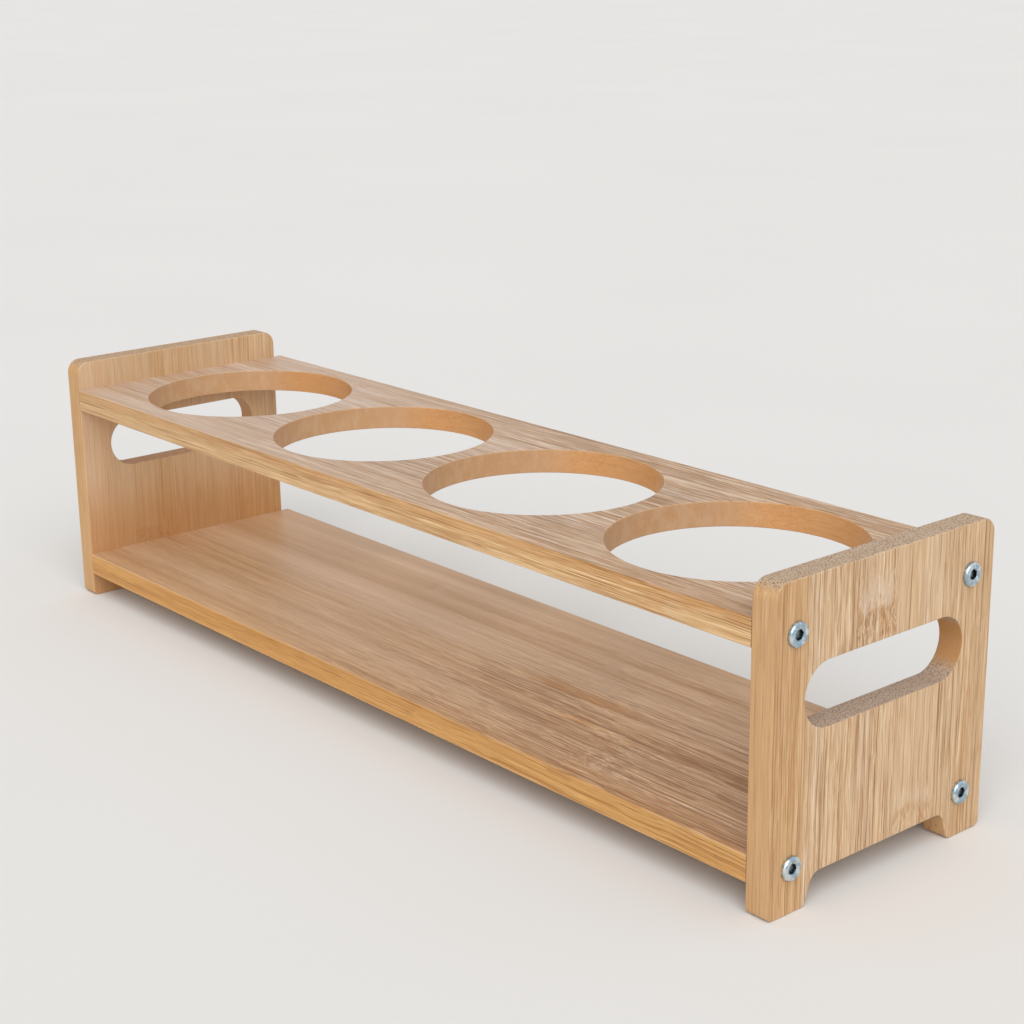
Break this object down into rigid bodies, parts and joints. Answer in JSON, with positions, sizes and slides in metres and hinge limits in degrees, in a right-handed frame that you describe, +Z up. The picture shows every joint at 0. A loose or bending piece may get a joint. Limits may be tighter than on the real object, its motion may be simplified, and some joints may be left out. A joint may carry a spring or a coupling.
{
  "type": "oil bottle rack",
  "caption": "Low bamboo rack that holds a row of oil bottles upright: a holed top board over a plain shelf, screwed between slotted end panels with feet.",
  "frame": {"origin": "on the ground under the middle of the boards", "axes": "+X along the row of bottle holes, +Y from the flush front edge to the back, +Z up"},
  "size_m": [0.454, 0.114, 0.115],
  "materials": {
    "panel_bamboo": "satin",
    "board_bamboo": "satin",
    "shelf_bamboo": "satin",
    "zinc_plate": "bright"
  },
  "bodies": {
    "root": {"left_end_panel": "panel_bamboo", "right_end_panel": "panel_bamboo", "bottle_board": "board_bamboo", "bottom_shelf": "shelf_bamboo", "screw_left_top_front": "zinc_plate", "screw_left_top_back": "zinc_plate", "screw_left_bottom_front": "zinc_plate", "screw_left_bottom_back": "zinc_plate", "screw_right_top_front": "zinc_plate", "screw_right_top_back": "zinc_plate", "screw_right_bottom_front": "zinc_plate", "screw_right_bottom_back": "zinc_plate"}
  },
  "joints": []
}
